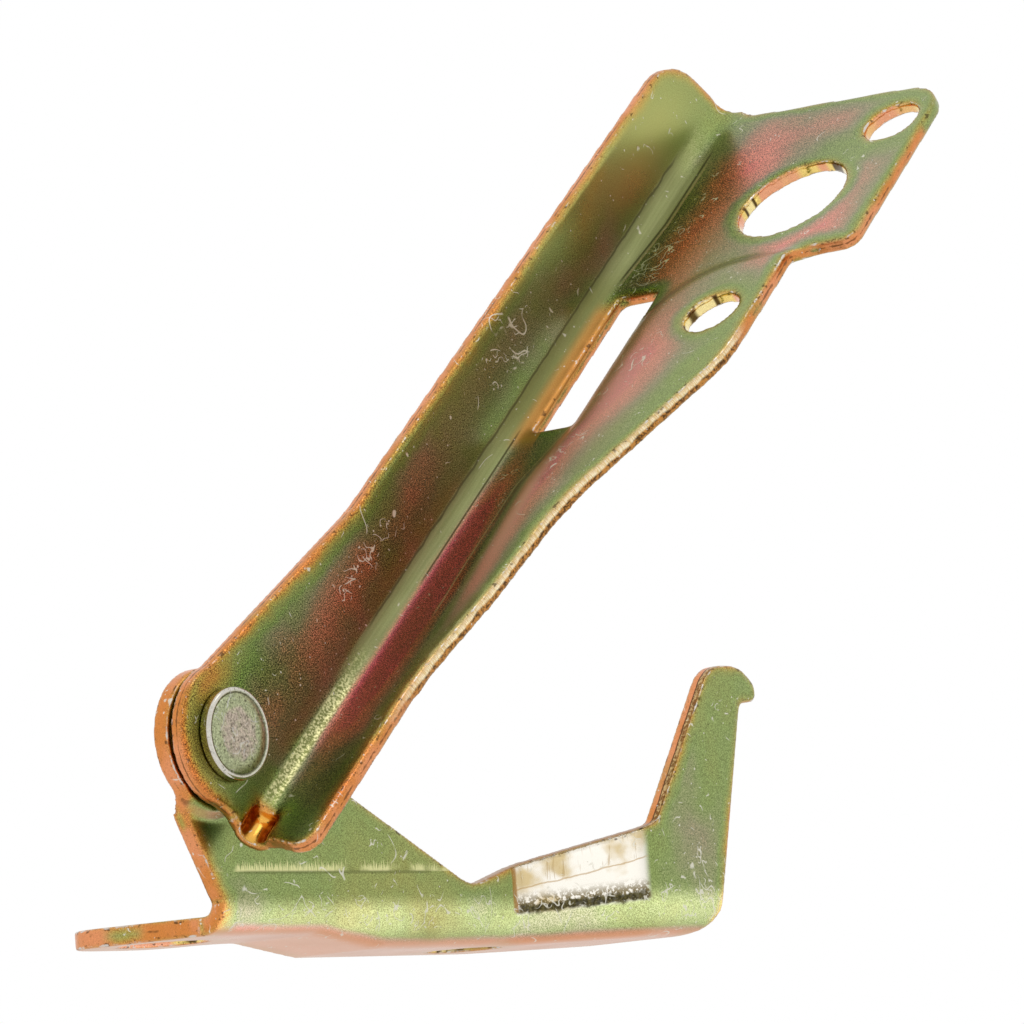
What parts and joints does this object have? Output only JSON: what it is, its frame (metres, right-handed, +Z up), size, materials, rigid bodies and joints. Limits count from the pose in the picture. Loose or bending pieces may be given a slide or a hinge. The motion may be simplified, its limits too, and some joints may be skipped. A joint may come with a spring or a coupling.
{
  "type": "bonnet hinge",
  "caption": "Pressed steel bonnet hinge: a base bracket with a crash hook, riveted to a swinging channel arm whose slotted flange bolts to the bonnet.",
  "frame": {"origin": "centre of the pad bolt hole on the underside of the base", "axes": "+Z up from the base along the pad bolt, +X along the base from the pivot to the crash hook, +Y along the rivet, away from the bonnet flange"},
  "size_m": [0.1568, 0.0871, 0.15],
  "materials": {
    "bracket_zinc": "yellow-passivated zinc plate, iridescent olive and rose",
    "arm_zinc": "yellow-passivated zinc plate, iridescent olive and rose",
    "rivet_steel": "zinc plate with a worn head",
    "bush_brass": "plain",
    "washer_steel": "zinc plate"
  },
  "bodies": {
    "bracket": {"body_bracket": "bracket_zinc", "pivot_rivet": "rivet_steel", "tail_washer": "washer_steel"},
    "arm": {"bonnet_arm": "arm_zinc", "pivot_bush": "bush_brass"}
  },
  "joints": [
    {"name": "bonnet_pivot", "type": "hinge", "parent": "bracket", "child": "arm", "pos_m": [-0.075, -0.01585, 0.0325], "axis": [0, -1, 0], "range_deg": [-39, 40]}
  ]
}
